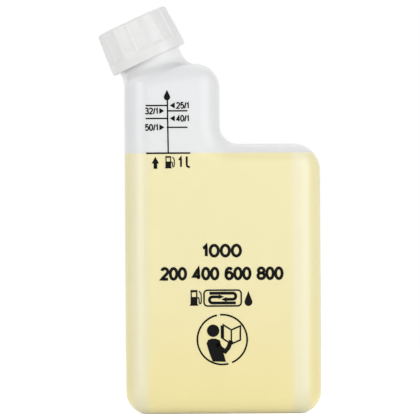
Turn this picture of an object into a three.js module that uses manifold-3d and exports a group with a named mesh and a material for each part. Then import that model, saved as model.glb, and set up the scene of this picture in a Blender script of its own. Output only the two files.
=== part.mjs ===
// A flat bottle for mixing two-stroke fuel, filled to its one litre line. Its pieces are the blow-moulded
// shell with a measuring chamber on the left, the ribbed screw cap, the sealing wad in the cap and the fuel.
// Millimetres, +Z up. The origin is the middle of the flat base, the printed front faces -Y and the neck
// leans towards -X.
import * as THREE from "three";
import { mergeVertices } from "three/addons/utils/BufferGeometryUtils.js";
import Module from "manifold-3d";

// Shell, outside sizes
const bodyWidth = 116;
const bodyDepth = 62;
const shoulderHeight = 160;
const chamberWidth = 56.5;
const chamberHeight = 207.7;
const chamberSlopeRun = 28; // the chamber's top climbs over this distance from the left side
const chamberSlopeRise = 6.3;
const wall = 1.2;
const fillHeight = 155.4; // the fuel's surface, at the one litre line

// Corner radii of the outline seen from the front
const footRadius = 13;
const shoulderRadius = 16;
const stepRadius = 11; // hollow corner between the shoulder and the chamber
const chamberRadius = 14.3;
const slopeRadius = 40;
const chamberLeftRadius = 8;

// Rounding from the outline to the front and back faces
const sideRounding = 16; // upright edges
const endRounding = 12; // foot, shoulder and top edges
const cornerBlend = 0.6; // how fast an outline corner tightens towards the faces
const leastRadius = 1;

// Neck, measured along its own axis from the cap's rim
const neckTilt = THREE.MathUtils.degToRad(24.5);
const neckInset = 14.85; // from the left side to the axis, at the cap's rim
const neckRise = 2.9; // from the chamber's top up to the cap's rim, on the axis
const neckRadius = 19.25;
const neckWall = 2;
const rootFillet = 5.5;
const lipRounding = 0.5;

// Screw cap
const capHeight = 25.6;
const capTopThickness = 1.8;
const capBandRadius = 23.3;
const capBandHeight = 5.6;
const capBandRamp = 0.8; // height of the soft step above the band
const capStraightHeight = 10; // the ribs' crests lean inwards above this
const capCrestTopRadius = 22.25;
const capMouthRadius = 21.2;
const capCrownRadius = 20.5; // inside, under the top
const capEdgeRounding = 1.2;
const rimRounding = 0.6;
const ribCount = 16;
const ribRelief = 0.55;
const ribWidth = 1.8;
const ribBevel = 0.5;
const ribOverlap = 0.6; // how deep a rib's foot reaches into the wall

// Sealing wad
const linerThickness = 1.4;

const fitClearance = 0.3; // between neighbouring pieces
const quarterSteps = 6; // facets in a quarter turn of the shell
const turnedSteps = 48; // facets round the neck and the cap

const capRimHeight = chamberHeight + neckRise;
const capGap = capTopThickness + fitClearance + linerThickness + fitClearance;
const lipHeight = capHeight - capGap;

const wasm = await Module();
wasm.setup();

const plastic = (color, roughness) =>
  new THREE.MeshStandardMaterial({ color, roughness, metalness: 0 });
const shellPlastic = plastic(0xe3e4e3, 0.4);
const capPlastic = plastic(0xe9e9e8, 0.35);
const linerFoam = plastic(0xf1f0ea, 0.7);
const fuelLiquid = plastic(0xf3e9b4, 0.1);

// A closed geometry as a solid that can be joined and cut.
function solidOf(geometry) {
  const bare = geometry.index ? geometry.toNonIndexed() : geometry.clone();
  bare.deleteAttribute("normal");
  bare.deleteAttribute("uv");
  const merged = mergeVertices(bare, 1e-4);
  const corners = merged.index.array;
  const faces = [];
  for (let i = 0; i < corners.length; i += 3) {
    const [a, b, c] = corners.slice(i, i + 3);
    if (a !== b && b !== c && c !== a) faces.push(a, b, c);
  }
  return new wasm.Manifold(
    new wasm.Mesh({
      numProp: 3,
      vertProperties: merged.attributes.position.array,
      triVerts: new Uint32Array(faces),
    }),
  );
}

function geometryOf(solid) {
  const { vertProperties, triVerts } = solid.getMesh();
  const geometry = new THREE.BufferGeometry();
  geometry.setAttribute("position", new THREE.BufferAttribute(vertProperties, 3));
  geometry.setIndex(new THREE.BufferAttribute(triVerts, 1));
  geometry.computeVertexNormals();
  return geometry;
}

function meshOf(name, solid, material) {
  const mesh = new THREE.Mesh(geometryOf(solid), material);
  mesh.name = name;
  return mesh;
}

// The front outline's corners, anticlockwise from the bottom left. Each edge that leaves a corner is an
// upright side or an end, which differ in how far they are rounded.
function outlineCorners() {
  const left = -bodyWidth / 2;
  const right = bodyWidth / 2;
  const chamberRight = left + chamberWidth;
  const slopeFoot = chamberHeight - chamberSlopeRise;
  return [
    { x: left, z: 0, radius: footRadius, leaves: "end" },
    { x: right, z: 0, radius: footRadius, leaves: "side" },
    { x: right, z: shoulderHeight, radius: shoulderRadius, leaves: "end" },
    { x: chamberRight, z: shoulderHeight, radius: stepRadius, leaves: "side" },
    { x: chamberRight, z: chamberHeight, radius: chamberRadius, leaves: "end" },
    { x: left + chamberSlopeRun, z: chamberHeight, radius: slopeRadius, leaves: "end" },
    { x: left, z: slopeFoot, radius: chamberLeftRadius, leaves: "side" },
  ];
}

// Where the lines a and b meet; each has a point and a direction.
function meeting(a, b) {
  const along = b.point.clone().sub(a.point).cross(b.direction) / a.direction.cross(b.direction);
  return a.point.clone().addScaledVector(a.direction, along);
}

// The outline moved inwards by inset.side and inset.end, its corners tightened or widened by the skin
// that is taken off all round and by part of the rest.
function outline(inset, skin) {
  const corners = outlineCorners();
  const edges = corners.map((corner, i) => {
    const next = corners[(i + 1) % corners.length];
    const point = new THREE.Vector2(corner.x, corner.z);
    const direction = new THREE.Vector2(next.x, next.z).sub(point).normalize();
    const inwards = new THREE.Vector2(-direction.y, direction.x);
    return { point: point.addScaledVector(inwards, inset[corner.leaves] + skin), direction };
  });
  const average = (inset.side + inset.end) / 2;
  return corners.flatMap((corner, i) => {
    const before = edges[(i + edges.length - 1) % edges.length];
    const after = edges[i];
    const turn = Math.atan2(
      before.direction.cross(after.direction),
      before.direction.dot(after.direction),
    );
    const bulge = Math.sign(turn);
    const radius = Math.max(
      corner.radius - bulge * (skin + cornerBlend * average),
      leastRadius,
    );
    const reach = radius * Math.tan(Math.abs(turn) / 2);
    const start = meeting(before, after).addScaledVector(before.direction, -reach);
    const towardsCentre = new THREE.Vector2(-before.direction.y, before.direction.x);
    const centre = start.clone().addScaledVector(towardsCentre, bulge * radius);
    const steps = Math.max(2, Math.round((Math.abs(turn) * quarterSteps) / (Math.PI / 2)));
    return Array.from({ length: steps + 1 }, (_, k) =>
      start.clone().rotateAround(centre, (turn * k) / steps),
    );
  });
}

// How far a rounded edge has drawn in at a distance below its flat face.
const drawIn = (radius, depth) =>
  depth < radius ? radius - Math.sqrt(radius ** 2 - (radius - depth) ** 2) : 0;

// A closed skin through rings of points that all have the same count, from the front to the back.
function loft(rings) {
  const count = rings[0].length;
  const positions = rings.flat().flatMap((p) => [p.x, p.y, p.z]);
  const faces = [];
  for (let r = 0; r < rings.length - 1; r++)
    for (let i = 0; i < count; i++) {
      const j = (i + 1) % count;
      const [a, b] = [r * count + i, r * count + j];
      faces.push(a, b + count, b, a, a + count, b + count);
    }
  const flat = (ring) => ring.map((p) => new THREE.Vector2(p.x, p.z));
  for (const [a, b, c] of THREE.ShapeUtils.triangulateShape(flat(rings[0]), []))
    faces.push(a, b, c);
  const last = (rings.length - 1) * count;
  for (const [a, b, c] of THREE.ShapeUtils.triangulateShape(flat(rings.at(-1)), []))
    faces.push(last + a, last + c, last + b);
  const geometry = new THREE.BufferGeometry();
  geometry.setAttribute("position", new THREE.Float32BufferAttribute(positions, 3));
  geometry.setIndex(faces);
  return geometry;
}

// The body and chamber in one rounded block, with the skin taken off all round.
function block(skin) {
  const half = bodyDepth / 2 - skin;
  const sideRadius = sideRounding - skin;
  const endRadius = endRounding - skin;
  const depths = Array.from({ length: quarterSteps + 1 }, (_, k) =>
    sideRadius * (1 - Math.cos((k * Math.PI) / 2 / quarterSteps)),
  );
  const ring = (depth, y) => {
    const inset = { side: drawIn(sideRadius, depth), end: drawIn(endRadius, depth) };
    return outline(inset, skin).map((p) => new THREE.Vector3(p.x, y, p.y));
  };
  const front = depths.map((depth) => ring(depth, depth - half));
  const back = depths.map((depth) => ring(depth, half - depth)).reverse();
  return solidOf(loft([...front, ...back]));
}

// A profile of [radius, height] pairs turned about +Z; it starts and ends on the axis.
function turned(profile) {
  const points = profile.map(([radius, height]) => new THREE.Vector2(radius, height));
  return solidOf(new THREE.LatheGeometry(points, turnedSteps).rotateX(Math.PI / 2));
}

// Points of an arc, as [radius, height] pairs.
function arc(radius, height, size, from, to, steps) {
  return Array.from({ length: steps + 1 }, (_, k) => {
    const angle = THREE.MathUtils.degToRad(from + ((to - from) * k) / steps);
    return [radius + size * Math.cos(angle), height + size * Math.sin(angle)];
  });
}

// The frame of the neck and cap: its origin on the cap's rim, its +Z along the neck.
function neckFrame() {
  const frame = new THREE.Group();
  frame.position.set(neckInset - bodyWidth / 2, 0, capRimHeight);
  frame.rotation.y = -neckTilt;
  frame.updateMatrix();
  return frame;
}

const inNeckFrame = (solid) => solid.transform(neckFrame().matrix.toArray());

// The root's fillet ends level with the chamber's top on the side that leans away.
function rootEnd() {
  const flare = rootFillet * (1 - Math.sin(neckTilt));
  const reach = (neckRadius + flare) * Math.sin(neckTilt);
  return { radius: neckRadius + flare, height: (chamberHeight - capRimHeight - reach) / Math.cos(neckTilt) };
}

function neckOutside() {
  const root = rootEnd();
  const leanDegrees = THREE.MathUtils.radToDeg(neckTilt);
  const filletTop = root.height + rootFillet * Math.cos(neckTilt);
  return turned([
    [0, root.height],
    ...arc(neckRadius + rootFillet, filletTop, rootFillet, 270 - leanDegrees, 180, 5),
    ...arc(neckRadius - lipRounding, lipHeight - lipRounding, lipRounding, 0, 90, 2),
    [0, lipHeight],
  ]);
}

// The bore runs from above the lip to the same depth as the root, where the chamber is wide open.
function neckBore() {
  const radius = neckRadius - neckWall;
  return turned([
    [0, rootEnd().height],
    [radius, rootEnd().height],
    [radius, lipHeight + capHeight],
    [0, lipHeight + capHeight],
  ]);
}

function bottle() {
  const outside = block(0).add(inNeckFrame(neckOutside()));
  const inside = block(wall).add(inNeckFrame(neckBore()));
  return meshOf("bottle", outside.subtract(inside), shellPlastic);
}

function fuel() {
  const tall = new THREE.BoxGeometry(bodyWidth, bodyDepth, fillHeight);
  tall.translate(0, 0, fillHeight / 2);
  return meshOf("fuel", block(wall + fitClearance).intersect(solidOf(tall)), fuelLiquid);
}

// A rib along the cap's side: its section goes from a foot in the wall to a bevelled crest, and its top
// end fades into the edge of the cap.
function rib() {
  const crestTop = capHeight - capEdgeRounding;
  const levels = [
    [capBandHeight - capBandRamp, capBandRadius],
    [capStraightHeight, capBandRadius],
    [crestTop - ribWidth / 2, capCrestTopRadius],
    [crestTop, capCrestTopRadius - ribRelief],
  ];
  const half = ribWidth / 2;
  const section = (height, crest) =>
    [
      [-half, crest - ribRelief - ribOverlap],
      [half, crest - ribRelief - ribOverlap],
      [half, crest - ribBevel],
      [half - ribBevel, crest],
      [ribBevel - half, crest],
      [-half, crest - ribBevel],
    ].map(([across, outwards]) => new THREE.Vector3(across, height, outwards));
  const upright = new THREE.Matrix4().makeBasis(
    new THREE.Vector3(0, 1, 0),
    new THREE.Vector3(0, 0, 1),
    new THREE.Vector3(1, 0, 0),
  );
  const rings = levels.map(([height, crest]) => section(height, crest));
  return solidOf(loft(rings).applyMatrix4(upright));
}

function cap() {
  const valleyTop = capCrestTopRadius - ribRelief;
  const outside = turned([
    [0, 0],
    ...arc(capBandRadius - rimRounding, rimRounding, rimRounding, -90, 0, 3),
    [capBandRadius, capBandHeight],
    [capBandRadius - ribRelief, capBandHeight + capBandRamp],
    [capBandRadius - ribRelief, capStraightHeight],
    ...arc(valleyTop - capEdgeRounding, capHeight - capEdgeRounding, capEdgeRounding, 0, 90, 4),
    [0, capHeight],
  ]);
  const hollow = turned([
    [0, -capHeight],
    [capMouthRadius, -capHeight],
    [capMouthRadius, 0],
    [capCrownRadius, capHeight - capTopThickness],
    [0, capHeight - capTopThickness],
  ]);
  let body = outside;
  for (let k = 0; k < ribCount; k++)
    body = body.add(rib().rotate([0, 0, (360 * (k + 0.5)) / ribCount]));
  return meshOf("cap", body.subtract(hollow), capPlastic);
}

// The wad is a little smaller than the cap's crown and lies just above the neck's lip.
function capLiner() {
  const radius = capCrownRadius - fitClearance;
  const low = lipHeight + fitClearance;
  const profile = [
    [0, low],
    [radius, low],
    [radius, low + linerThickness],
    [0, low + linerThickness],
  ];
  return meshOf("cap_liner", turned(profile), linerFoam);
}

const closure = neckFrame();
closure.add(cap(), capLiner());

const mixingBottle = new THREE.Group();
mixingBottle.add(bottle(), fuel(), closure);

export default mixingBottle;
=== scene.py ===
import bpy
import bmesh
import cmath
import math
from mathutils import Matrix, Vector
from mathutils.bvhtree import BVHTree


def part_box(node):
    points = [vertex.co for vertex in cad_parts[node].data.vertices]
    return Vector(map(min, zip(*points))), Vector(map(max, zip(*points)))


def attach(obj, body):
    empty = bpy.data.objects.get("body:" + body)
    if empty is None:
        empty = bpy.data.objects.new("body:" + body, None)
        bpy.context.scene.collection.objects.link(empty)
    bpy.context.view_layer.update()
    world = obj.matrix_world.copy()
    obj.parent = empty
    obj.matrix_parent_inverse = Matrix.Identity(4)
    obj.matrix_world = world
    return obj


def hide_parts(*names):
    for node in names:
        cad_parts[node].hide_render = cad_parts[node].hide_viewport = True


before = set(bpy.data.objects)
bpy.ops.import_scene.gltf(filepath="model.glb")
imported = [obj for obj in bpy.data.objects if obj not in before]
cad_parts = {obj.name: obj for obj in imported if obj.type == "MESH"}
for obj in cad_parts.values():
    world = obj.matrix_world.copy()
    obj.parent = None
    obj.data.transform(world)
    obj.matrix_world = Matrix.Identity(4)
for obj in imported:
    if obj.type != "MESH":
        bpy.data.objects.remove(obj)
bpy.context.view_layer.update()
mm = 0.001
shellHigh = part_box("bottle")[1]
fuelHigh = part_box("fuel")[1]
print("frame loaded:", ", ".join(sorted(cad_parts)))


# A node's output. Sums written with it add Math nodes to its material.
class Value:
    def __init__(self, finish, socket):
        self.finish = finish
        self.socket = socket

    def combine(self, operation, first, second):
        return self.finish.node("ShaderNodeMath", {"operation": operation}, {0: first, 1: second})

    def __add__(self, other):
        return self.combine("ADD", self, other)

    def __radd__(self, other):
        return self.combine("ADD", other, self)

    def __sub__(self, other):
        return self.combine("SUBTRACT", self, other)

    def __rsub__(self, other):
        return self.combine("SUBTRACT", other, self)

    def __mul__(self, other):
        return self.combine("MULTIPLY", self, other)

    def __rmul__(self, other):
        return self.combine("MULTIPLY", other, self)

    def __abs__(self):
        return self.finish.node("ShaderNodeMath", {"operation": "ABSOLUTE"}, {0: self})


class Finish:
    def __init__(self, tree):
        self.tree = tree
        self.tree.nodes.clear()

    def node(self, kind, settings={}, values={}, output=0):
        made = self.tree.nodes.new(kind)
        for setting, value in settings.items():
            setattr(made, setting, value)
        for socket, value in values.items():
            if isinstance(value, Value):
                self.tree.links.new(value.socket, made.inputs[socket])
            else:
                made.inputs[socket].default_value = value
        return Value(self, made.outputs[output] if made.outputs else None)

    def place(self):
        return self.node("ShaderNodeTexCoord", output="Object")

    def axis(self, place, name):
        return self.node("ShaderNodeSeparateXYZ", {}, {0: place}, name)

    def stretched(self, place, scale):
        return self.node("ShaderNodeMapping", {}, {"Vector": place, "Scale": scale})

    def noise(self, place, scale, detail=2.0, roughness=0.5):
        values = {"Vector": place, "Scale": scale, "Detail": detail, "Roughness": roughness}
        return self.node("ShaderNodeTexNoise", {}, values)

    def step(self, value, low, high, atLow=0.0, atHigh=1.0):
        values = {"Value": value, "From Min": low, "From Max": high, "To Min": atLow, "To Max": atHigh}
        return self.node("ShaderNodeMapRange", {"interpolation_type": "SMOOTHSTEP"}, values)

    def mix(self, share, first, second):
        return self.node("ShaderNodeMix", {"data_type": "RGBA"}, {0: share, 6: first, 7: second}, 2)

    def along(self, place, direction):
        values = {0: place, 1: direction}
        return self.node("ShaderNodeVectorMath", {"operation": "DOT_PRODUCT"}, values, "Value")

    def bump(self, height, distance, strength):
        values = {"Height": height, "Distance": distance, "Strength": strength}
        return self.node("ShaderNodeBump", {}, values)

    def plastic(self, values):
        return self.node("ShaderNodeBsdfPrincipled", {}, values)

    def show(self, surface):
        self.node("ShaderNodeOutputMaterial", {}, {"Surface": surface})


def material(name):
    made = bpy.data.materials.new(name)
    made.use_nodes = True
    return made, Finish(made.node_tree)


def grey(level):
    return (level, level, level, 1)


# Where the fuel's edge and the printed line meet on the front wall, just under the solid fuel's top.
litreLine = fuelHigh.z - 0.7 * mm


milky = {
    "base": (0.835, 0.841, 0.855, 1),
    "thin": (0.875, 0.88, 0.893, 1),
    # painted light up the neck, which lifts the shade under the cap and around the neck's root
    "paintedNeckLight": (0.945, 0.948, 0.955, 1),
    "neckUp": (-0.415, 0, 0.91),  # the way that the neck leans
    "neckLightBand": (198 * mm, 206 * mm),
    "neckLightAlpha": 0.16,
    "wetted": (0.885, 0.808, 0.448, 1),
    "deepWetted": (0.9, 0.795, 0.365, 1),
    "deepBelow": 95 * mm,
    # painted highlight beside the upright edges, partly the thinner fuel behind the wall there
    "highlightWetted": (0.89, 0.838, 0.57, 1),
    "highlightBand": (40 * mm, 46 * mm, 50.5 * mm, 55 * mm),
    "highlightShift": 1.5 * mm,
    # painted light: paler at the foot, lifting the shade on the bottom rounding that faces the floor
    "paintedFootLight": (1.0, 0.9, 0.47, 1),
    "footBand": (3 * mm, 14 * mm),
    "airAlpha": 0.67,
    "wetAlpha": 0.8,
    "roughness": 0.27,
    "lineBlur": 0.25 * mm,
    "seam": 0.22 * mm,
    "cloudScale": 38,
    "streakScale": (420, 420, 9),
    "grainScale": 1500,
    "relief": 0.06 * mm,
}


# Milky polyethylene. Where fuel wets the wall behind it, the plastic takes its colour. Beside the upright
# edges
# that colour is paler: a painted highlight of the side lamps on the roundings, and partly the thinner fuel
# there.
def shellPlastic():
    made, finish = material("milky_shell")
    place = finish.place()
    height = finish.axis(place, "Z")
    depth = finish.axis(place, "Y")
    wet = finish.step(height, litreLine - milky["lineBlur"], litreLine + milky["lineBlur"], 1.0, 0.0)
    cloud = finish.noise(place, milky["cloudScale"], 3)
    streaks = finish.noise(finish.stretched(place, milky["streakScale"]), 1, 2)
    grain = finish.noise(place, milky["grainScale"], 2, 0.6)
    mottle = finish.mix(cloud * 0.7 + streaks * 0.3, milky["base"], milky["thin"])
    seam = finish.step(abs(depth), 0.0, milky["seam"], 1.0, 0.0)
    relief = grain * 0.5 + streaks * 0.35 + seam * 1.6
    # A pale band beside the upright edges: a painted highlight of the side lamps, partly the thinner fuel
    # behind the wall.
    near, full, fading, gone = milky["highlightBand"]
    aside = abs(finish.axis(place, "X") + milky["highlightShift"])
    band = finish.step(aside, near, full) * finish.step(aside, fading, gone, 1.0, 0.0)
    deep = finish.step(height, 0.0, milky["deepBelow"], 1.0, 0.0)
    # Paler at the foot: painted light that lifts the shade on the bottom rounding, which faces the floor.
    foot = finish.step(height, *milky["footBand"], 1.0, 0.0)
    wetted = finish.mix(deep, milky["wetted"], milky["deepWetted"])
    wetted = finish.mix(foot, wetted, milky["paintedFootLight"])
    wetted = finish.mix(band, wetted, milky["highlightWetted"])
    upNeck = finish.along(place, milky["neckUp"])
    paintedNeckLight = finish.step(upNeck, *milky["neckLightBand"])  # painted light: paler and milkier up the neck, lifting the shade under the cap and at its root
    mottle = finish.mix(paintedNeckLight, mottle, milky["paintedNeckLight"])
    cover = milky["airAlpha"] + wet * (milky["wetAlpha"] - milky["airAlpha"]) + paintedNeckLight * milky["neckLightAlpha"]
    finish.show(finish.plastic({
        "Base Color": finish.mix(wet, mottle, wetted),
        "Roughness": milky["roughness"] + cloud * 0.08,
        "Alpha": cover + (cloud - 0.5) * 0.05,
        "IOR": 1.5,
        "Specular IOR Level": 1.0,
        "Normal": finish.bump(relief, milky["relief"], 0.5),
    }))
    return made


liquid = {
    "body": (0.965, 0.88, 0.42, 1),
    "pale": (0.97, 0.895, 0.48, 1),
    "roughness": 0.12,
    "driftScale": (14, 14, 7),
}


def fuelLiquid():
    made, finish = material("pale_yellow_fuel")
    place = finish.place()
    height = finish.axis(place, "Z")
    drift = finish.noise(finish.stretched(place, liquid["driftScale"]), 1, 3)
    rise = finish.step(height, 0.0, litreLine)
    finish.show(finish.plastic({
        "Base Color": finish.mix(drift * 0.5 + rise * 0.5, liquid["body"], liquid["pale"]),
        "Roughness": liquid["roughness"] + drift * 0.04,
        "IOR": 1.43,
    }))
    return made


moulded = {
    "base": (0.745, 0.745, 0.741, 1),
    "pale": (0.80, 0.80, 0.796, 1),
    "roughness": 0.26,
    "alpha": 0.88,
    "cloudScale": 70,
    "grainScale": 2100,
    "relief": 0.03 * mm,
}


# White closure plastic with a satin face and fine flow marks.
def capPlastic():
    made, finish = material("white_cap_plastic")
    place = finish.place()
    cloud = finish.noise(place, moulded["cloudScale"], 3)
    grain = finish.noise(place, moulded["grainScale"], 2, 0.55)
    finish.show(finish.plastic({
        "Base Color": finish.mix(cloud, moulded["base"], moulded["pale"]),
        "Roughness": moulded["roughness"] + cloud * 0.1,
        "Alpha": moulded["alpha"] + (cloud - 0.5) * 0.06,
        "IOR": 1.5,
        "Specular IOR Level": 0.8,
        "Normal": finish.bump(grain, moulded["relief"], 0.4),
    }))
    return made


foam = {
    "base": (0.86, 0.85, 0.81, 1),
    "pale": (0.92, 0.915, 0.88, 1),
    "roughness": 0.62,
    "cellScale": 1300,
    "cloudScale": 260,
    "relief": 0.12 * mm,
}


def wadFoam():
    made, finish = material("wad_foam")
    place = finish.place()
    cells = finish.node("ShaderNodeTexVoronoi", {}, {"Vector": place, "Scale": foam["cellScale"]})
    cloud = finish.noise(place, foam["cloudScale"], 2)
    finish.show(finish.plastic({
        "Base Color": finish.mix(cloud, foam["base"], foam["pale"]),
        "Roughness": foam["roughness"] + cloud * 0.12,
        "Normal": finish.bump(cells, foam["relief"], 0.6),
    }))
    return made


blackInk = {
    "base": grey(0.001),
    "pale": grey(0.006),
    "roughness": 0.42,
    "patchScale": 900,
    "relief": 0.02 * mm,
}


def printInk():
    made, finish = material("black_print")
    place = finish.place()
    patch = finish.noise(place, blackInk["patchScale"], 3, 0.6)
    finish.show(finish.plastic({
        "Base Color": finish.mix(patch, blackInk["base"], blackInk["pale"]),
        "Roughness": blackInk["roughness"] + patch * 0.16,
        "Specular IOR Level": 0.08,
        "Normal": finish.bump(patch, blackInk["relief"], 0.4),
    }))
    return made


finishes = {
    "shell": shellPlastic(),
    "cap": capPlastic(),
    "wad": wadFoam(),
    "fuel": fuelLiquid(),
    "print": printInk(),
}
print("finishes made:", len(finishes))


# Adds a piece to the scene, moving with its body and finished from its slot.
def addPiece(name, mesh, slot, body, sharpDegrees=None):
    data = bpy.data.meshes.new(name)
    bmesh.ops.recalc_face_normals(mesh, faces=mesh.faces)
    mesh.to_mesh(data)
    mesh.free()
    piece = bpy.data.objects.new(name, data)
    bpy.context.collection.objects.link(piece)
    data.materials.append(finishes[slot])
    data.shade_smooth()
    if sharpDegrees:
        data.set_sharp_from_angle(angle=math.radians(sharpDegrees))
    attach(piece, body)
    return piece


# Turns a piece's modifiers into its mesh.
def settle(piece):
    shown = piece.evaluated_get(bpy.context.evaluated_depsgraph_get())
    data = bpy.data.meshes.new_from_object(shown)
    piece.modifiers.clear()
    piece.data = data


shell = {
    "width": 2 * shellHigh.x,
    "depth": 2 * shellHigh.y,
    "shoulder": 160 * mm,
    "chamberWidth": 56.5 * mm,
    "chamberTop": 207.7 * mm,
    "slopeRun": 28 * mm,
    "slopeRise": 6.3 * mm,
    "wall": 1.2 * mm,
    "radii": {"foot": 13 * mm, "shoulder": 16 * mm, "hollow": 11 * mm, "chamber": 14.3 * mm,
              "slope": 40 * mm, "left": 8 * mm},
    "sideRounding": 16 * mm,
    "endRounding": 12 * mm,
    "cornerBlend": 0.6,
    "leastRadius": 1 * mm,
    "quarterSteps": 18,
    "skinCell": 1.45 * mm,
    "relaxing": 10,
    "fit": {"reach": 0.7 * mm, "margin": 2.5 * mm, "blend": 3 * mm, "rootFloor": -22 * mm},
}


# The front outline's corners, anticlockwise from the bottom left: place, radius and the edge that leaves.
def outlineCorners():
    left = -shell["width"] / 2
    right = shell["width"] / 2
    step = left + shell["chamberWidth"]
    top = shell["chamberTop"]
    radii = shell["radii"]
    return [
        (complex(left, 0), radii["foot"], "end"),
        (complex(right, 0), radii["foot"], "side"),
        (complex(right, shell["shoulder"]), radii["shoulder"], "end"),
        (complex(step, shell["shoulder"]), radii["hollow"], "side"),
        (complex(step, top), radii["chamber"], "end"),
        (complex(left + shell["slopeRun"], top), radii["slope"], "end"),
        (complex(left, top - shell["slopeRise"]), radii["left"], "side"),
    ]


def cross(first, second):
    return (first.conjugate() * second).imag


# The outline moved inwards, with its corners tightened by the skin and by part of the rest.
def outline(inset, skin):
    corners = outlineCorners()
    edges = []
    for i, (corner, radius, leaves) in enumerate(corners):
        ahead = corners[(i + 1) % len(corners)][0] - corner
        ahead /= abs(ahead)
        edges.append((corner + 1j * ahead * (inset[leaves] + skin), ahead, radius))
    average = (inset["side"] + inset["end"]) / 2
    points = []
    for i, (after, onwards, radius) in enumerate(edges):
        before, along = edges[i - 1][:2]
        meet = before + along * cross(after - before, onwards) / cross(along, onwards)
        turn = cmath.phase(onwards / along)
        bulge = math.copysign(1, turn)
        size = max(radius - bulge * (skin + shell["cornerBlend"] * average), shell["leastRadius"])
        start = meet - along * size * math.tan(abs(turn) / 2)
        centre = start + 1j * along * bulge * size
        steps = max(3, round(abs(turn) * shell["quarterSteps"] / (math.pi / 2)))
        for k in range(steps + 1):
            points.append(centre + (start - centre) * cmath.exp(1j * turn * k / steps))
    return points


# How far a rounded edge has drawn in at a distance below its flat face.
def drawIn(radius, depth):
    if depth >= radius:
        return 0
    return radius - math.sqrt(radius ** 2 - (radius - depth) ** 2)


# Joins each ring of points to the next one with four-sided faces.
def joinRings(mesh, rings):
    for near, far in zip(rings, rings[1:]):
        for i in range(len(near)):
            j = (i + 1) % len(near)
            mesh.faces.new((near[i], near[j], far[j], far[i]))


# The body and chamber as one rounded block, with the skin taken off all round.
def addBlock(mesh, skin):
    half = shell["depth"] / 2 - skin
    side = shell["sideRounding"] - skin
    end = shell["endRounding"] - skin
    steps = shell["quarterSteps"]
    depths = [side * (1 - math.cos(k * math.pi / 2 / steps)) for k in range(steps + 1)]
    levels = [(depth, depth - half) for depth in depths]
    levels += [(depth, half - depth) for depth in reversed(depths)]
    rings = []
    for depth, y in levels:
        inset = {"side": drawIn(side, depth), "end": drawIn(end, depth)}
        rings.append([mesh.verts.new((p.real, y, p.imag)) for p in outline(inset, skin)])
    joinRings(mesh, rings)
    ends = [mesh.faces.new(rings[0][::-1]), mesh.faces.new(rings[-1])]
    bmesh.ops.triangulate(mesh, faces=ends)


# The block's outside, as a surface on which places are found.
def blockSurface():
    exact = bmesh.new()
    addBlock(exact, 0)
    bmesh.ops.triangulate(exact, faces=exact.faces)
    surface = BVHTree.FromBMesh(exact)
    exact.free()
    return surface


# Turns a profile of (radius, height) about the axis of the place. Rows at radius 0 are one point.
def addTurned(mesh, profile, place, turns, relief=None, closed=False):
    angles = turns if isinstance(turns, list) else [2 * math.pi * k / turns for k in range(turns)]
    rows = []
    for radius, height in profile:
        if radius == 0:
            rows.append([mesh.verts.new(place @ Vector((0, 0, height)))])
            continue
        row = []
        for angle in angles:
            out = radius + (relief(angle, radius, height) if relief else 0)
            spot = Vector((out * math.cos(angle), out * math.sin(angle), height))
            row.append(mesh.verts.new(place @ spot))
        rows.append(row)
    pairs = list(zip(rows, rows[1:]))
    if closed:
        pairs.append((rows[-1], rows[0]))
    for low, high in pairs:
        for i in range(max(len(low), len(high))):
            j = i + 1
            corners = [low[i % len(low)], low[j % len(low)], high[j % len(high)], high[i % len(high)]]
            mesh.faces.new(list(dict.fromkeys(corners)))


def arcPoints(radius, height, size, start, stop, steps):
    points = []
    for k in range(steps + 1):
        angle = math.radians(start + (stop - start) * k / steps)
        points.append((radius + size * math.cos(angle), height + size * math.sin(angle)))
    return points


neck = {
    "tilt": math.radians(24.5),
    "inset": 14.85 * mm,
    "rise": 2.9 * mm,
    "radius": 19.25 * mm,
    "bore": 17.25 * mm,
    "fillet": 5.5 * mm,
    "rootLow": -17 * mm,
    "rootReach": 9 * mm,
    "rootPasses": 22,
    "cut": 2.6 * mm,
    "beadRadius": 19.85 * mm,
    "beadLow": 1.3 * mm,
    "beadHigh": 3.9 * mm,
    "lip": 21.8 * mm,
    "lipRounding": 0.5 * mm,
    "threadLow": 6.0 * mm,
    "threadTurns": 2.5,
    "boreLow": 0.4 * mm,
    "beadFoot": 0.02 * mm,
    "skirt": {"inset": 0.5 * mm, "drop": 0.3 * mm, "wall": 0.4 * mm, "low": 0.1 * mm},
}
thread = {
    "pitch": 25.4 / 6 * mm,
    "height": 0.95 * mm,
    "foot": 1.7 * mm,
    "crest": 0.7 * mm,
    "sunk": 0.2 * mm,
    "fade": math.radians(40),
    "leastShare": 0.04,
    "stepsPerTurn": 72,
}
neckSpot = Vector((neck["inset"] - shell["width"] / 2, 0, shell["chamberTop"] + neck["rise"]))
neckPlace = Matrix.Translation(neckSpot) @ Matrix.Rotation(-neck["tilt"], 4, "Y")


# The neck as it grows out of the chamber, with the hollow fillet at its root.
def addNeckRoot(mesh):
    flare = neck["fillet"] * (1 - math.sin(neck["tilt"]))
    wide = neck["radius"] + flare
    low = (-neck["rise"] - wide * math.sin(neck["tilt"])) / math.cos(neck["tilt"])
    lean = math.degrees(neck["tilt"])
    top = low + neck["fillet"] * math.cos(neck["tilt"])
    profile = [(0, low)]
    profile += arcPoints(neck["radius"] + neck["fillet"], top, neck["fillet"], 270 - lean, 180, 14)
    profile += [(neck["radius"], 2 * neck["cut"]), (0, 2 * neck["cut"])]
    addTurned(mesh, profile, neckPlace, 160)


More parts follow.
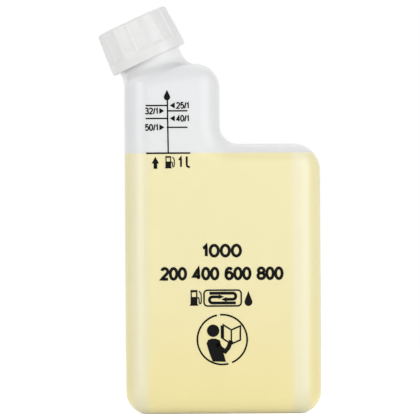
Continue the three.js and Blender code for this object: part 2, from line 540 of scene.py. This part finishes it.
def bottleShell():
    mesh = bmesh.new()
    addBlock(mesh, 0)
    addNeckRoot(mesh)
    piece = addPiece("bottle_shell", mesh, "shell", "bottle_body")
    skin = piece.modifiers.new("skin", "REMESH")
    skin.mode = "VOXEL"
    skin.voxel_size = shell["skinCell"]
    skin.use_smooth_shade = True
    relax = piece.modifiers.new("relax", "SMOOTH")
    relax.factor = 0.5
    relax.iterations = shell["relaxing"]
    settle(piece)
    fitToBlock(piece)
    openNeck(piece)
    wall = piece.modifiers.new("wall", "SOLIDIFY")
    wall.thickness = shell["wall"]
    wall.offset = -1
    settle(piece)
    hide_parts("bottle")


# Brings the relaxed skin back onto the exact block wherever it isn't part of the neck's root.
def fitToBlock(piece):
    surface = blockSurface()
    fit = shell["fit"]
    toNeck = neckPlace.inverted()
    rootEdge = neck["radius"] + neck["fillet"] + fit["margin"]
    for vertex in piece.data.vertices:
        nearest = surface.find_nearest(vertex.co)
        spot, distance = nearest[0], nearest[3]
        fromAxis = toNeck @ vertex.co
        clear = math.hypot(fromAxis.x, fromAxis.y) - rootEdge
        share = min(max(clear / fit["blend"], 0), 1) if fromAxis.z > fit["rootFloor"] else 1
        if distance < fit["reach"]:
            vertex.co = vertex.co.lerp(spot, share)


# Melts the neck's root into the chamber's top, as blowing rounds it.
def softenRoot(mesh):
    toNeck = neckPlace.inverted()
    root = []
    for vertex in mesh.verts:
        spot = toNeck @ vertex.co
        if neck["rootLow"] < spot.z < 0 and math.hypot(spot.x, spot.y) < neck["radius"] + neck["rootReach"]:
            root.append(vertex)
    everyWay = {"use_axis_x": True, "use_axis_y": True, "use_axis_z": True}
    for repeat in range(neck["rootPasses"]):
        bmesh.ops.smooth_vert(mesh, verts=root, factor=0.5, **everyWay)


def openNeck(piece):
    mesh = bmesh.new()
    mesh.from_mesh(piece.data)
    softenRoot(mesh)
    parts = mesh.verts[:] + mesh.edges[:] + mesh.faces[:]
    cut = neckPlace @ Vector((0, 0, neck["cut"]))
    axis = neckPlace.to_3x3() @ Vector((0, 0, 1))
    bmesh.ops.bisect_plane(mesh, geom=parts, plane_co=cut, plane_no=axis, clear_outer=True)
    mesh.to_mesh(piece.data)
    mesh.free()


# A right-hand thread ridge. Outwards it stands on a pin, inwards it lines a bore.
def addThread(mesh, place, foot, start, turns, side):
    count = round(turns * thread["stepsPerTurn"])
    rings = []
    for k in range(count + 1):
        angle = 2 * math.pi * turns * k / count
        end = min(angle, 2 * math.pi * turns - angle) / thread["fade"]
        tall = max(thread["leastShare"], math.sin(math.pi / 2 * min(end, 1))) * thread["height"]
        height = start + thread["pitch"] * angle / (2 * math.pi)
        section = [
            (-thread["sunk"], -thread["foot"] / 2),
            (tall, -thread["crest"] / 2),
            (tall, thread["crest"] / 2),
            (-thread["sunk"], thread["foot"] / 2),
        ]
        ring = []
        for out, up in section:
            radius = foot + side * out
            spot = Vector((radius * math.cos(angle), radius * math.sin(angle), height + up))
            ring.append(mesh.verts.new(place @ spot))
        rings.append(ring)
    joinRings(mesh, rings)
    mesh.faces.new(rings[0])
    mesh.faces.new(rings[-1])


def neckFinish():
    mesh = bmesh.new()
    radius, bore, size = neck["radius"], neck["bore"], neck["lipRounding"]
    edge = neck["lip"] - size
    profile = [(bore, neck["boreLow"]), (bore, edge)]
    profile += arcPoints(bore + size, edge, size, 180, 90, 4)
    profile += arcPoints(radius - size, edge, size, 90, 0, 4)
    profile += [(radius, neck["lip"] * 0.6)]
    for k in range(9):
        share = k / 8
        height = neck["beadHigh"] + (neck["beadLow"] - neck["beadHigh"]) * share
        swell = math.sin(math.pi * share) * (neck["beadRadius"] - radius)
        profile.append((radius + neck["beadFoot"] + swell, height))
    skirt = neck["skirt"]
    profile += [(radius - skirt["inset"], neck["beadLow"] - skirt["drop"])]
    profile += [(bore + skirt["wall"], skirt["low"])]
    addTurned(mesh, profile, neckPlace, 144, closed=True)
    addThread(mesh, neckPlace, radius, neck["threadLow"], neck["threadTurns"], 1)
    addPiece("neck_finish", mesh, "shell", "bottle_body", 35)


bottleShell()
neckFinish()
print("shell and neck made")


fill = {
    "clearance": 0.1 * mm,
    "meniscusWidth": 1.6 * mm,
    "meniscusDip": 0.7 * mm,
}


def fuelFill():
    mesh = bmesh.new()
    addBlock(mesh, shell["wall"] + fill["clearance"])
    parts = mesh.verts[:] + mesh.edges[:] + mesh.faces[:]
    level = Vector((0, 0, litreLine))
    cut = bmesh.ops.bisect_plane(mesh, geom=parts, plane_co=level, plane_no=(0, 0, 1), clear_outer=True)
    edges = [part for part in cut["geom_cut"] if isinstance(part, bmesh.types.BMEdge)]
    top = bmesh.ops.contextual_create(mesh, geom=edges)["faces"]
    bmesh.ops.inset_region(mesh, faces=top, thickness=fill["meniscusWidth"], depth=-fill["meniscusDip"])
    bmesh.ops.triangulate(mesh, faces=top)
    piece = addPiece("fuel_fill", mesh, "fuel", "bottle_body", 30)
    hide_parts("fuel")


fuelFill()
print("fuel made")


closure = {
    "height": 25.6 * mm,
    "top": 1.8 * mm,
    "bandRadius": 23.3 * mm,
    "bandHeight": 5.6 * mm,
    "bandRamp": 3 * mm,
    "straight": 10 * mm,
    "crestTop": 22.25 * mm,
    "mouth": 21.2 * mm,
    "mouthTop": 2.5 * mm,
    "mouthLow": 0.4 * mm,
    "mouthEase": 0.3 * mm,
    "crown": 20.5 * mm,
    "crownCorner": 1 * mm,
    "threadSunk": 0.2 * mm,
    "edge": 1.4 * mm,
    "rim": 0.6 * mm,
    "bandRows": [1.5 * mm, 3.5 * mm],
    "sideRows": [0.38, 0.42, 0.55, 0.7, 0.82, 0.88],  # shares of the height
    "ribs": 16,
    "relief": 0.6 * mm,
    "ribHalf": math.radians(3.5),
    "ribMargin": 1.15,
    "ribSteps": 12,
    "grooveSteps": 6,
    "ribFlank": 0.7,
    "ribFade": 2.2 * mm,
    "ringRadius": 15.5 * mm,
    "ringWidth": 0.8 * mm,
    "ringFlank": 0.4 * mm,
    "ringDip": 0.25 * mm,
    "gateRadius": 2.2 * mm,
    "gateFlank": 0.5 * mm,
    "gateDip": 0.35 * mm,
}


# Angles round the cap, close together over each rib and far apart between them.
def ribAngles():
    pitch = 2 * math.pi / closure["ribs"]
    half = closure["ribHalf"] * closure["ribMargin"]
    across, between = closure["ribSteps"], closure["grooveSteps"]
    angles = []
    for rib in range(closure["ribs"]):
        middle = (rib + 0.5) * pitch
        angles += [middle + half * (2 * k / across - 1) for k in range(across + 1)]
        angles += [middle + half + (pitch - 2 * half) * k / between for k in range(1, between)]
    return angles


# A share from 0 to 1, eased at both ends.
def eased(share):
    share = min(max(share, 0), 1)
    return share * share * (3 - 2 * share)


# How far the sides have drawn in from the band to the floor of the grooves between the ribs.
def grooveDepth(height):
    return closure["relief"] * eased((height - closure["bandHeight"]) / closure["bandRamp"])


# How far a rib stands out of the grooves' floor. The inside and the band have none.
def ribRelief(angle, radius, height):
    if radius <= closure["crown"] or height <= closure["bandHeight"]:
        return 0
    pitch = 2 * math.pi / closure["ribs"]
    off = abs((angle / pitch) % 1 - 0.5) * pitch
    across = eased((closure["ribHalf"] - off) / (closure["ribHalf"] * closure["ribFlank"]))
    top = min(max((closure["height"] - height) / closure["ribFade"], 0), 1)
    return grooveDepth(height) * across * math.sin(math.pi / 2 * top)


# The radius between the ribs: straight at first, then leaning in towards the top.
def sideRadius(height):
    leaning = closure["height"] - closure["edge"] - closure["straight"]
    lean = max(height - closure["straight"], 0) / leaning
    drop = closure["bandRadius"] - closure["crestTop"]
    return closure["bandRadius"] - grooveDepth(height) - drop * lean


def screwCap():
    mesh = bmesh.new()
    height, edge, rim = closure["height"], closure["edge"], closure["rim"]
    roof = height - closure["top"]
    crown, corner = closure["crown"], closure["crownCorner"]
    profile = [(0, roof), (crown - corner, roof)]
    profile += arcPoints(crown - corner, roof - corner, corner, 90, 0, 4)
    profile += [(closure["mouth"], closure["mouthTop"])]
    profile += [(closure["mouth"] + closure["mouthEase"], closure["mouthLow"])]
    profile += arcPoints(closure["bandRadius"] - rim, rim, rim, -90, 0, 4)
    ramp = [closure["bandHeight"] + closure["bandRamp"] * k / 6 for k in range(7)]
    heights = closure["bandRows"] + ramp + [height * share for share in closure["sideRows"]]
    profile += [(sideRadius(level), level) for level in heights]
    topRadius = sideRadius(height - edge)
    profile += arcPoints(topRadius - edge, height - edge, edge, 0, 90, 8)
    ring, flank, sunk = closure["ringRadius"], closure["ringFlank"], height - closure["ringDip"]
    outer = ring + closure["ringWidth"]
    profile += [(outer + flank, height), (outer, sunk), (ring, sunk), (ring - flank, height)]
    gate, sunk = closure["gateRadius"], height - closure["gateDip"]
    profile += [(gate, height), (gate - closure["gateFlank"], sunk), (0, sunk)]
    addTurned(mesh, profile, neckPlace, ribAngles(), ribRelief)
    foot = crown + closure["threadSunk"]
    start = neck["threadLow"] - thread["pitch"] / 2
    addThread(mesh, neckPlace, foot, start, neck["threadTurns"], -1)
    piece = addPiece("screw_cap", mesh, "cap", "cap_body", 34)
    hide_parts("cap")


wad = {
    "radius": 20.2 * mm,
    "low": 22.1 * mm,
    "thickness": 1.4 * mm,
    "rounding": 0.3 * mm,
    "pressed": 0.12 * mm,
    "pressMost": 1.2,  # times as deep under the lip's middle
    "innerEase": 0.6 * mm,
    "lipEase": 0.2 * mm,
    "outerEase": 0.3 * mm,
}


# The sealing wad, with the ring that the neck's lip has pressed into it.
def sealingWad():
    mesh = bmesh.new()
    radius, low, size = wad["radius"], wad["low"], wad["rounding"]
    high = low + wad["thickness"]
    lipMiddle = (neck["radius"] + neck["bore"]) / 2
    pressed, most = low + wad["pressed"], low + wad["pressed"] * wad["pressMost"]
    profile = [(0, low), (neck["bore"] - wad["innerEase"], low), (neck["bore"], pressed)]
    profile += [(lipMiddle, most), (neck["radius"] - wad["lipEase"], pressed)]
    profile += [(neck["radius"] + wad["outerEase"], low)]
    profile += arcPoints(radius - size, low + size, size, -90, 0, 4)
    profile += arcPoints(radius - size, high - size, size, 0, 90, 4)
    profile += [(0, high)]
    addTurned(mesh, profile, neckPlace, 120)
    piece = addPiece("sealing_wad", mesh, "wad", "wad_carriage", 40)
    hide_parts("cap_liner")


screwCap()
sealingWad()
print("cap and wad made")


# The print is drawn flat, across and up in plain millimetres. It is drawn a little small, and laying it
# on the shell enlarges it about its middle.
ink = {
    "lift": 0.09 * mm,
    "film": 0.05 * mm,
    "step": 1.4 * mm,
    "middle": Vector((-7.5, 0, 120.9)) * mm,
    "growth": 1.0154,
}


# A line of one width along the points, in steps short enough to follow the shell.
def addStrip(mesh, points, width, closed=False):
    path = [Vector(point) for point in points]
    if closed:
        path.append(path[0])
    fine = [path[0]]
    for start, stop in zip(path, path[1:]):
        pieces = max(1, math.ceil((stop - start).length * mm / ink["step"]))
        fine += [start.lerp(stop, k / pieces) for k in range(1, pieces + 1)]
    if closed:
        fine.pop()
    rows = []
    for i, point in enumerate(fine):
        before = fine[i - 1] if closed or i else fine[i]
        after = fine[(i + 1) % len(fine)] if closed or i < len(fine) - 1 else fine[i]
        arrive = (point - before).normalized() if point != before else (after - point).normalized()
        leave = (after - point).normalized() if after != point else arrive
        along = (arrive + leave).normalized()
        across = Vector((-along.y, along.x)) * width / 2 / max(along.dot(leave), 0.5)
        sides = (point - across, point + across)
        rows.append([mesh.verts.new((side.x * mm, 0, side.y * mm)) for side in sides])
    pairs = list(zip(rows, rows[1:])) + ([(rows[-1], rows[0])] if closed else [])
    for near, far in pairs:
        mesh.faces.new((near[0], far[0], far[1], near[1]))


def addPatch(mesh, points):
    face = mesh.faces.new([mesh.verts.new((x * mm, 0, z * mm)) for x, z in points])
    bmesh.ops.triangulate(mesh, faces=[face])


def addBar(mesh, left, low, right, high):
    addPatch(mesh, [(left, low), (right, low), (right, high), (left, high)])


def bow(x, z, halfWidth, halfHeight, start, stop, steps=18):
    angles = [math.radians(start + (stop - start) * k / steps) for k in range(steps + 1)]
    return [(x + halfWidth * math.cos(a), z + halfHeight * math.sin(a)) for a in angles]


def arcOf(x, z, radius, start, stop, steps):
    return bow(x, z, radius, radius, start, stop, steps)


# Plain numerals one unit tall: each one's width and its strokes.
numerals = {
    "0": (0.58, [bow(0.29, 0.5, 0.29, 0.5, 0, 360)]),
    "1": (0.30, [[(0.0, 0.74), (0.12, 0.80), (0.23, 1.0), (0.23, 0.0)]]),
    "2": (0.58, [bow(0.29, 0.71, 0.27, 0.29, 165, -35) + [(0.02, 0.0), (0.58, 0.0)]]),
    "3": (0.58, [bow(0.28, 0.76, 0.25, 0.24, 150, -80) + bow(0.28, 0.26, 0.30, 0.26, 80, -150)]),
    "4": (0.60, [[(0.60, 0.25), (0.02, 0.25), (0.43, 1.0), (0.43, 0.0)]]),
    "5": (0.58, [[(0.54, 1.0), (0.12, 1.0), (0.05, 0.50)] + bow(0.28, 0.33, 0.29, 0.33, 135, -150)]),
    "6": (0.58, [bow(0.29, 0.31, 0.28, 0.31, 0, 360), bow(0.31, 0.5, 0.30, 0.5, 205, 45)]),
    "8": (0.58, [bow(0.29, 0.27, 0.29, 0.27, 0, 360), bow(0.29, 0.77, 0.25, 0.23, 0, 360)]),
    "/": (0.26, [[(0.0, -0.04), (0.26, 1.04)]]),
    " ": (0.30, []),
}
numeralGap = 0.2


# A row of numerals that fills a box given by its left, lower, right and upper sides.
def addNumbers(mesh, words, box, stroke):
    total = sum(numerals[word][0] for word in words) + numeralGap * (len(words) - 1)
    left, low = box[0] + stroke / 2, box[1] + stroke / 2
    across = (box[2] - box[0] - stroke) / total
    up = box[3] - box[1] - stroke
    pen = 0
    for word in words:
        width, strokes = numerals[word]
        for points in strokes:
            laid = [(left + (pen + x) * across, low + z * up) for x, z in points]
            whole = math.dist(laid[0], laid[-1]) < 0.01
            addStrip(mesh, laid[:-1] if whole else laid, stroke, closed=whole)
        pen += width + numeralGap


def addDrop(mesh, x, low, high, half):
    addPatch(mesh, [(x, high)] + arcOf(x, low + half, half, 155, 385, 24))


def addArrowHead(mesh, x, z, length, half):
    addPatch(mesh, [(x, z), (x - length, z + half), (x - length, z - half)])


# A fuel pump: a body with a window, its foot, and a hose with a nozzle on the right.
def addPump(mesh, left, low, width, height):
    def at(x, z):
        return left + x * width, low + z * height

    def bar(x0, z0, x1, z1):
        addBar(mesh, *at(x0, z0), *at(x1, z1))

    bar(0.05, 0.08, 0.62, 0.56)
    bar(0.05, 0.56, 0.16, 0.9)
    bar(0.51, 0.56, 0.62, 0.9)
    bar(0.05, 0.86, 0.62, 1.0)
    bar(0.0, 0.0, 0.68, 0.09)
    hose = [at(0.62, 0.5), at(0.72, 0.5), at(0.76, 0.4), at(0.77, 0.2), at(0.83, 0.12), at(0.91, 0.16)]
    hose += [at(0.94, 0.3), at(0.94, 0.66), at(0.9, 0.78), at(0.76, 0.93)]
    addStrip(mesh, hose, 0.1 * width)


# Lays the flat print on the shell and gives it the thickness of a film of ink.
def layPrint(name, mesh):
    surface = blockSurface()
    longEdges = [edge for edge in mesh.edges if edge.calc_length() > 2 * ink["step"]]
    bmesh.ops.subdivide_edges(mesh, edges=longEdges, cuts=1)
    front = -shell["depth"]
    for vertex in mesh.verts:
        grown = ink["middle"] + (vertex.co - ink["middle"]) * ink["growth"]
        start = Vector((grown.x, front, grown.z))
        spot, normal = surface.ray_cast(start, Vector((0, 1, 0)))[:2]
        vertex.co = spot - normal * math.copysign(ink["lift"], normal.y)
    piece = addPiece(name, mesh, "print", "bottle_body")
    for polygon in piece.data.polygons:
        if polygon.normal.y > 0:
            polygon.flip()
    film = piece.modifiers.new("film", "SOLIDIFY")
    film.thickness = ink["film"]
    film.offset = -1
    settle(piece)
    piece.data.shade_flat()


scale = {
    "line": 0.84,
    "stem": -32.0,
    "stemTop": 185.3,
    "stemLean": 0.35,
    "left": -44.7,
    "right": -20.3,
    "marks": [(182.0, -1, "25/1"), (178.85, 1, "32/1"), (174.45, -1, "40/1"), (169.25, 1, "50/1")],
    "numberHalf": 2.05,
    "numberStroke": 0.78,
    "numberLeft": (-45.3, -37.3),
    "numberRight": (-27.0, -19.25),
    "pointer": {"middle": -32.2, "gap": 1.6, "length": 2.9, "half": 1.8},
    "drop": (-32.2, 185.0, 191.2, 1.85),
    "bottom": (-44.5, -18.8, 154.2),
    "bottomLine": 0.966,
    "arrowStem": (-40.25, 145.1, -38.1, 148.6),
    "arrowHead": [(-41.4, 148.2), (-37.0, 148.2), (-39.2, 152.1)],
    "pump": (-33.6, 145.3, 5.8, 7.2),
    "one": (-26.1, 145.6, -23.3, 152.4),
    "oneStroke": 1.1,
    "litre": [(-20.9, 152.2), (-20.9, 147.5), (-20.6, 146.5), (-20.0, 146.1), (-19.1, 146.0)],
    "litreStroke": 1.15,
}


# The mixing scale on the chamber: a stem with a mark, a pointer and a ratio for each fill.
def chamberScale():
    mesh = bmesh.new()
    line, stem, half = scale["line"], scale["stem"], scale["numberHalf"]
    left, right, low = scale["bottom"]
    pointer = scale["pointer"]
    addStrip(mesh, [(stem, scale["stemTop"]), (stem + scale["stemLean"], low)], line)
    addStrip(mesh, [(left, low), (right, low)], scale["bottomLine"])
    for z, side, ratio in scale["marks"]:
        if side < 0:
            addStrip(mesh, [(scale["left"], z), (stem + line / 2, z)], line)
            left, right = scale["numberRight"]
        else:
            addStrip(mesh, [(stem - line / 2, z), (scale["right"], z)], line)
            left, right = scale["numberLeft"]
        tip = pointer["middle"] - side * pointer["gap"]
        addArrowHead(mesh, tip, z, side * pointer["length"], pointer["half"])
        addNumbers(mesh, ratio, (left, z - half, right, z + half), scale["numberStroke"])
    addDrop(mesh, *scale["drop"])
    addBar(mesh, *scale["arrowStem"])
    addPatch(mesh, scale["arrowHead"])
    addPump(mesh, *scale["pump"])
    addNumbers(mesh, "1", scale["one"], scale["oneStroke"])
    addStrip(mesh, scale["litre"], scale["litreStroke"])
    layPrint("chamber_scale_print", mesh)


panel = {
    "upper": ("1000", (-12.6, 93.1, 11.0, 101.2)),
    "lower": ("200 400 600 800", (-36.9, 79.8, 35.2, 87.8)),
    "numberStroke": 1.75,
    "pump": (-19.5, 65.1, 7.0, 9.2),
    "drop": (14.6, 64.8, 73.6, 2.3),
    "box": (-11.3, 64.9, 10.4, 74.1),
    "boxCorner": 2.1,
    "boxLine": 0.95,
    "flow": 1.7,
    "flowStart": -7.7,
    "flowBend": (5.9, 1.05, 1.8),
    "flowEnd": (2.0, -0.75),
    "flowTip": (-0.9, -0.75),
    "flowHead": (3.2, 1.4),
}


# The panel on the body: generic volume numbers, the mixing signs and the sign for reading first.
def frontPanel():
    mesh = bmesh.new()
    addNumbers(mesh, *panel["upper"], panel["numberStroke"])
    addNumbers(mesh, *panel["lower"], panel["numberStroke"])
    addPump(mesh, *panel["pump"])
    addMixingBox(mesh)
    addDrop(mesh, *panel["drop"])
    addReader(mesh)
    layPrint("front_panel_print", mesh)


# A rounded box with two bent arrows that chase each other.
def addMixingBox(mesh):
    left, low, right, high = panel["box"]
    size = panel["boxCorner"]
    corners = arcOf(right - size, low + size, size, -90, 0, 6)
    corners += arcOf(right - size, high - size, size, 0, 90, 6)
    corners += arcOf(left + size, high - size, size, 90, 180, 6)
    corners += arcOf(left + size, low + size, size, 180, 270, 6)
    addStrip(mesh, corners, panel["boxLine"], closed=True)
    middle = Vector(((left + right) / 2, (low + high) / 2))
    bendX, bendZ, bend = panel["flowBend"]
    path = [(panel["flowStart"], bendZ + bend), (bendX, bendZ + bend)]
    path += arcOf(bendX, bendZ, bend, 80, -80, 8) + [panel["flowEnd"]]
    length, half = panel["flowHead"]
    for side in (1, -1):
        turned = [middle + side * Vector(point) for point in path]
        addStrip(mesh, turned, panel["flow"])
        tip = middle + side * Vector(panel["flowTip"])
        addArrowHead(mesh, tip.x, tip.y, -side * length, half)


reader = {
    "ring": (-0.8, 45.3, 14.5),
    "ringArcs": [(102, 284), (-67, 95)],
    "ringLine": 1.05,
    "head": (-5.3, 5.2, 3.65),
    "body": [(-9.2, -2.2), (-8.3, -0.2), (-6.2, 0.6), (-3.8, 0.6), (-1.4, -0.4), (-0.4, -4.2),
             (0.8, -8.2), (2.1, -13.0), (-5.6, -12.8), (-7.3, -8.6)],
    "arm": [(-3.4, -1.8), (-0.8, -5.2), (1.7, -6.9), (3.5, -4.8), (5.2, -0.6)],
    "armWidth": 2.5,
    "book": [(0.6, 8.6), (5.3, 5.6), (10.6, 7.9), (10.5, -0.3), (5.3, -2.6), (0.6, 0.4)],
    "bookLine": 0.95,
    "spine": [(5.3, 5.4), (5.3, -2.4)],
    "spineLine": 0.9,
    "cover": [(-0.9, 8.3), (0.2, 8.2), (0.2, 0.2), (-0.9, 0.9)],
}


# A plain figure that holds an open book, in a broken ring. Its shapes are placed from the ring's middle.
def addReader(mesh):
    x, z, radius = reader["ring"]

    def placed(shape):
        return [(x + across, z + up) for across, up in reader[shape]]

    for start, stop in reader["ringArcs"]:
        addStrip(mesh, arcOf(x, z, radius, start, stop, 60), reader["ringLine"])
    across, up, size = reader["head"]
    addPatch(mesh, arcOf(x + across, z + up, size, 0, 345, 23))
    addPatch(mesh, placed("body"))
    addStrip(mesh, placed("arm"), reader["armWidth"])
    addStrip(mesh, placed("book"), reader["bookLine"], closed=True)
    addStrip(mesh, placed("spine"), reader["spineLine"])
    addPatch(mesh, placed("cover"))


chamberScale()
frontPanel()
print("print laid")


view = {
    "spot": Vector((-7.5, -5000, 120.9)) * mm,
    "roll": math.radians(0.35),
    "lens": 719.3,
    "sensor": 36,
}


def addCamera():
    lens = bpy.data.cameras.new("camera")
    lens.sensor_width = view["sensor"]
    lens.lens = view["lens"]
    lens.clip_start = 0.02
    camera = bpy.data.objects.new("camera", lens)
    bpy.context.collection.objects.link(camera)
    roll = view["roll"]
    right = Vector((math.cos(roll), 0, -math.sin(roll)))
    up = Vector((math.sin(roll), 0, math.cos(roll)))
    turned = Matrix((right, up, Vector((0, -1, 0)))).transposed().to_4x4()
    camera.matrix_world = Matrix.Translation(view["spot"]) @ turned
    bpy.context.scene.camera = camera


studio = {
    "target": Vector((0, 0, 115)) * mm,
    "distance": 1.25,
    "world": 0.62,
    "lamps": [  # name, azimuth from the camera, elevation, width, height, watts
        ("left_box", -52, 6, 0.6, 1.5, 5.9),
        ("right_box", 54, 6, 0.95, 1.5, 8.3),
        ("front_fill", 4, 9, 0.9, 0.6, 1.6),
        ("back_fill", 180, 60, 1.4, 1.0, 3.2),
    ],
}


def addLamps():
    for name, azimuth, elevation, width, height, watts in studio["lamps"]:
        lamp = bpy.data.lights.new(name, "AREA")
        lamp.shape = "RECTANGLE"
        lamp.size = width
        lamp.size_y = height
        lamp.energy = watts
        turn, rise = math.radians(azimuth), math.radians(elevation)
        out = Vector((math.sin(turn) * math.cos(rise), -math.cos(turn) * math.cos(rise), math.sin(rise)))
        holder = bpy.data.objects.new(name, lamp)
        bpy.context.collection.objects.link(holder)
        holder.location = studio["target"] + out * studio["distance"]
        holder.rotation_euler = out.to_track_quat("Z", "Y").to_euler()
        holder.visible_camera = False


# How much of a ray is the camera's, or a mirror's or a glass's view of the background.
def seenDirectly(finish):
    seen = finish.node("ShaderNodeLightPath", output="Is Camera Ray")
    for kind in ("Is Glossy Ray", "Is Transmission Ray"):
        seen = seen + finish.node("ShaderNodeLightPath", output=kind)
    return finish.node("ShaderNodeClamp", {}, {"Value": seen})


def addWorld():
    world = bpy.data.worlds.new("studio")
    world.use_nodes = True
    bpy.context.scene.world = world
    finish = Finish(world.node_tree)
    strength = seenDirectly(finish) * (1 - studio["world"]) + studio["world"]
    back = finish.node("ShaderNodeBackground", {}, {"Color": grey(1), "Strength": strength})
    finish.node("ShaderNodeOutputWorld", {}, {"Surface": back})


ground = {
    "radius": 2.2,
    "sides": 96,
    "depth": 0.05 * mm,
    "colour": grey(0.9),
    "seenGlow": 0.55,
}


# A pale floor. Seen directly it glows a little, so that it reads white and still shows the shadow.
def addFloor():
    mesh = bmesh.new()
    bmesh.ops.create_circle(mesh, cap_ends=True, radius=ground["radius"], segments=ground["sides"])
    data = bpy.data.meshes.new("floor")
    mesh.to_mesh(data)
    mesh.free()
    floor = bpy.data.objects.new("floor", data)
    bpy.context.collection.objects.link(floor)
    floor.location.z = -ground["depth"]
    made, finish = material("pale_floor")
    plain = finish.plastic({"Base Color": ground["colour"], "Roughness": 0.9, "Specular IOR Level": 0.1})
    glow = finish.node("ShaderNodeEmission", {}, {"Color": grey(1), "Strength": ground["seenGlow"]})
    lit = finish.node("ShaderNodeAddShader", {}, {0: plain, 1: glow})
    share = seenDirectly(finish)
    finish.show(finish.node("ShaderNodeMixShader", {}, {0: share, 1: plain, 2: lit}))
    data.materials.append(made)


addCamera()
addLamps()
addWorld()
addFloor()
bpy.context.scene.view_settings.view_transform = "Standard"
print("studio set")
